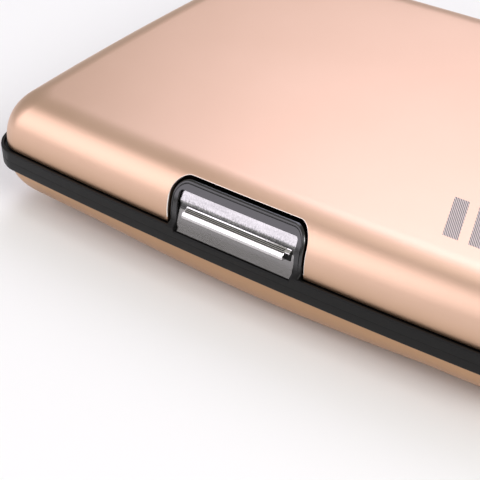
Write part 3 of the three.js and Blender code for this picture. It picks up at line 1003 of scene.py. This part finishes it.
def stitch(parts, x, y, z, length, width=0.26, height=0.14):
    """One thread stitch lying along a hem, thinner at its ends."""
    turns = [2 * math.pi * k / 8 for k in range(8)]
    sections = []
    for share, size in ((-0.5, 0.3), (-0.38, 0.9), (0.38, 0.9), (0.5, 0.3)):
        end, across, up = x + share * length, size * width / 2, size * height
        sections.append([(end, y + across * math.cos(t), z + up * math.sin(t)) for t in turns])
    parts.sweep(sections)


def leaf_cloth(name, height, material):
    """A thin woven sheet with rounded corners and softened edges."""
    outline, inner = leaf_outline(), leaf_outline(0.8)
    half = LEAF_WALL / 2
    levels = ((inner, -half), (outline, -half * 0.6), (outline, half * 0.6), (inner, half))
    parts = Parts()
    parts.sweep([[(x, y, height + rise) for x, y in points] for points, rise in levels])
    item = parts.piece(name, material)
    bevel(item, 0.05, 2, 50)
    return item


def leaf_hem(name, height, material):
    """The bound front edge of a sheet, with a line of stitches above and below."""
    half, hem = LEAF_WALL / 2, HEM_WALL / 2
    y0, y1 = LEAF_FRONT - 0.1, LEAF_FRONT + HEM_DEPTH
    lower = [(y1, -half * 0.9), (y1 - 0.25, -hem), (y0 + 0.25, -hem), (y0, -hem * 0.4)]
    section = [*lower, *((y, -rise) for y, rise in reversed(lower))]
    parts = Parts()
    parts.prism([(y, height + rise) for y, rise in section], -HEM_HALF, HEM_HALF)
    for k in range(STITCHES):
        x = (k - (STITCHES - 1) / 2) * STITCH_PITCH
        for side in (-1, 1):
            stitch(parts, x, y1 - 0.85, height + side * hem, STITCH_LENGTH)
    item = parts.piece(name, material)
    crease(item, 50)
    return item


def leaf_height(share):
    """How high a leaf lies in the closed accordion."""
    return POCKETS_LOW + share * (POCKETS_HIGH - POCKETS_LOW)


def pleat_curve(edge, fold, steps=10):
    """The wavy section of a pleated film: (across, height), out at each leaf and in between them."""
    heights = [POCKETS_LOW + 0.1, *[leaf_height(share) for share in LEAF_SHARES], POCKETS_HIGH - 0.1]
    curve = []
    for low, high in zip(heights, heights[1:]):
        for k in range(steps):
            share = k / steps
            depth = (1 - abs(2 * share - 1) ** 1.3) * fold
            curve.append((edge - depth, low + (high - low) * share))
    return [*curve, (edge, heights[-1])]


def side_end(across):
    """Where a side film ends at the back, so that it meets the rear film in a mitre."""
    return REAR_FOLD - (SIDE_FOLD - across)


def spine_half(across):
    """Half the rear film's width at a depth."""
    return SIDE_FOLD - (REAR_FOLD - across)


def side_breadth(across):
    return side_end(across) - FILM_FRONT


def rear_breadth(across):
    return 2 * spine_half(across)


def right_place(across, share, height):
    """A point of the right film, from its section and the share of its breadth."""
    return across, FILM_FRONT + share * side_breadth(across), height


def left_place(across, share, height):
    x, y, z = right_place(across, share, height)
    return -x, y, z


def rear_place(across, share, height):
    return (share - 0.5) * rear_breadth(across), across, height


def film(name, curve, place, material, wall=0.16):
    """A thin film whose section is a curve, laid by place(across, share of its breadth, height)."""
    points = np.array(curve)
    step = np.gradient(points, axis=0)
    normal = np.stack([step[:, 1], -step[:, 0]], 1) / np.linalg.norm(step, axis=1)[:, None]
    outline = [*(points + normal * wall / 2), *(points - normal * wall / 2)[::-1]]
    parts = Parts()
    shares = spread([0, 1], 0.07)
    parts.sweep([[place(across, share, height) for across, height in outline] for share in shares])
    return parts.piece(name, material)


# ---------------------------------------------------------------- stage


def camera():
    """Stands where the wallet's front right corner is nearest, close in on the latch."""
    target = Vector((-2.533, -32.186, 10)) * MM
    azimuth, elevation, roll = (math.radians(angle) for angle in (42.92, 33.45, -4.26))
    distance = 243.84 * MM
    level = math.cos(elevation)
    back = Vector((math.sin(azimuth) * level, -math.cos(azimuth) * level, math.sin(elevation)))
    data = bpy.data.cameras.new("camera")
    data.lens = 123.47
    data.sensor_width = 36
    data.clip_start = 0.01
    item = bpy.data.objects.new("camera", data)
    item.location = target + back * distance
    facing = back.to_track_quat("Z", "Y")
    item.rotation_mode = "QUATERNION"
    item.rotation_quaternion = facing @ Euler((0, 0, roll)).to_quaternion()
    bpy.context.scene.collection.objects.link(item)
    bpy.context.scene.camera = item


def softbox(name, direction, size, power, colour=(1, 1, 1), distance=700):
    """A rectangular light that faces the wallet's middle. Distance and size are in millimetres."""
    data = bpy.data.lights.new(name, "AREA")
    data.shape = "RECTANGLE"
    data.size, data.size_y = size[0] * MM, size[1] * MM
    data.energy = power
    data.color = colour
    item = bpy.data.objects.new(name, data)
    away = Vector(direction).normalized()
    item.location = away * distance * MM
    item.rotation_mode = "QUATERNION"
    item.rotation_quaternion = away.to_track_quat("Z", "Y")
    bpy.context.scene.collection.objects.link(item)


def studio():
    """The floor, the world's even light and four softboxes."""
    half = 3000
    corners = [(-half, -half, 0), (half, -half, 0), (half, half, 0), (-half, half, 0)]
    make("floor", corners, [(0, 1, 2, 3)], floor_paint("floor_paint"))
    world = bpy.data.worlds.new("studio")
    bpy.context.scene.world = world
    world.use_nodes = True
    background = world.node_tree.nodes["Background"]
    background.inputs["Color"].default_value = (1.0, 0.98, 0.9, 1)
    background.inputs["Strength"].default_value = 0.44
    softbox("rear_box", (-0.36, 0.55, 0.76), (320, 420), 1.07, (0.98, 0.97, 1.2))
    softbox("top_box", (-0.3, 0.05, 0.95), (300, 240), 0.35, (1.0, 0.97, 1.0))
    softbox("left_box", (-0.568, -0.65, 0.465), (640, 520), 1.72, (1.0, 0.95, 1.06))
    softbox("right_box", (0.78, -0.25, 0.57), (300, 300), 2.7)
    bpy.context.scene.view_settings.view_transform = "Standard"


# ---------------------------------------------------------------- assembly

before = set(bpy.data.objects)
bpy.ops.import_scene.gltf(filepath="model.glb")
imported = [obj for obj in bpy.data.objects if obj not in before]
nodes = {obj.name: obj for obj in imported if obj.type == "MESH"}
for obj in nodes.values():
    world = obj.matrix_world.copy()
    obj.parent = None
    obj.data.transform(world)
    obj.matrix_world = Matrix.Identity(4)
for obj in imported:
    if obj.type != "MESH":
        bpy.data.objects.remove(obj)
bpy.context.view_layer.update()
camera()
studio()

# The base's copy of the anodised finish is darker than the lid's: painted shade.
ANODISED_SHADED = anodised("anodised", (188, 151, 118), (193, 156, 123))
# The lid's finish carries the etched bars and painted shade towards its rim.
MARKED_AND_SHADED = anodised("anodised_lid", (220, 184, 160), (225, 190, 167), marked_and_shaded=True)
BLACK = moulded("frame_black")
SURROUND = moulded("surround_black", 0.006, (0.42, 0.5), 2.5, 0.004, gloss=0.24)
LINER = moulded("liner_black", 0.03, (0.5, 0.62), 0.9, 0.03, 1.45)
CHROME = chromed("chrome", 0.44, dark_reflection=True)
POLISHED = chromed("polished_chrome", 0.78, (0.06, 0.12))
STEEL = drawn_steel("steel")
FABRIC = woven("pocket_fabric")
BINDING = woven("pocket_binding", 0.035, 0.3)


def place_piece(item, body, node):
    """Lets a piece ride on a body and stand for a CAD node."""
    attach(item, body)
    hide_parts(node)


def place_spring(side, name):
    """A spring's wire in place of its CAD node, fixed where it is built between the latch and the base."""
    wire = latch_spring(side, STEEL)
    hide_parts(f"latch_spring_{name}")
    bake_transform(wire)


def place_film(name, fold, breadth, place):
    """A folded film, cut breadth wide at each point of its section, in place of its CAD node. Its flat size
    is worked out and not used.
    """
    curve = pleat_curve(fold, FOLD_DEPTH)
    item = film(f"{name}_film", curve, place, FABRIC)
    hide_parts(name)
    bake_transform(item)
    steps = [(math.dist(p, q), (breadth(p[0]) + breadth(q[0])) / 2) for p, q in zip(curve, curve[1:])]
    flat = (breadth(fold) * MM, sum(step for step, _ in steps) * MM)
    return item


def place_leaf(name, height, body, node):
    """A sheet of cloth with its hem, riding on one body."""
    cloth, hem = leaf_cloth(f"{name}_cloth", height, FABRIC), leaf_hem(f"{name}_hem", height, BINDING)
    place_piece(cloth, body, node)
    place_piece(hem, body, node)


def finish_cad(node, material):
    """Gives a CAD node that stays visible its material and softened edges."""
    node.data.materials.clear()
    node.data.materials.append(material)
    bevel(node, 0.08, 2, 45)


place_piece(lid_shell(MARKED_AND_SHADED), "lid", "lid_shell")
place_piece(base_shell(ANODISED_SHADED), "base", "base_shell")
place_piece(base_frame(BLACK), "base", "base_frame")
place_piece(latch_surround(SURROUND), "base", "base_frame")
place_piece(lid_frame(BLACK), "lid", "lid_frame")
place_piece(latch_cover(CHROME), "latch", "latch_cover")
place_piece(latch_ridge(POLISHED), "latch", "latch_cover")
place_piece(ridge_shade_pieces(BLACK), "latch", "latch_cover")
place_spring(1, "right")
place_spring(-1, "left")

films = [
    place_film("right_gusset", SIDE_FOLD, side_breadth, right_place),
    place_film("left_gusset", SIDE_FOLD, side_breadth, left_place),
    place_film("rear_gusset", REAR_FOLD, rear_breadth, rear_place),
]
for number, share in enumerate(LEAF_SHARES, 1):
    leaf = f"leaf_{number}"
    place_leaf(leaf, leaf_height(share), leaf, f"card_{leaf}")
place_leaf("lower_panel", POCKETS_LOW - 0.2, "base", "lower_card_panel")
place_leaf("upper_panel", POCKETS_HIGH + 0.2, "lid", "upper_card_panel")

CAD_LOOKS = {
    "hinge_pin": STEEL,
    "latch_pin": STEEL,
    "strike_plate": STEEL,
    "latch_lever": BLACK,
    "base_liner": LINER,
    "lid_liner": LINER,
}
for name, material in CAD_LOOKS.items():
    finish_cad(nodes[name], material)
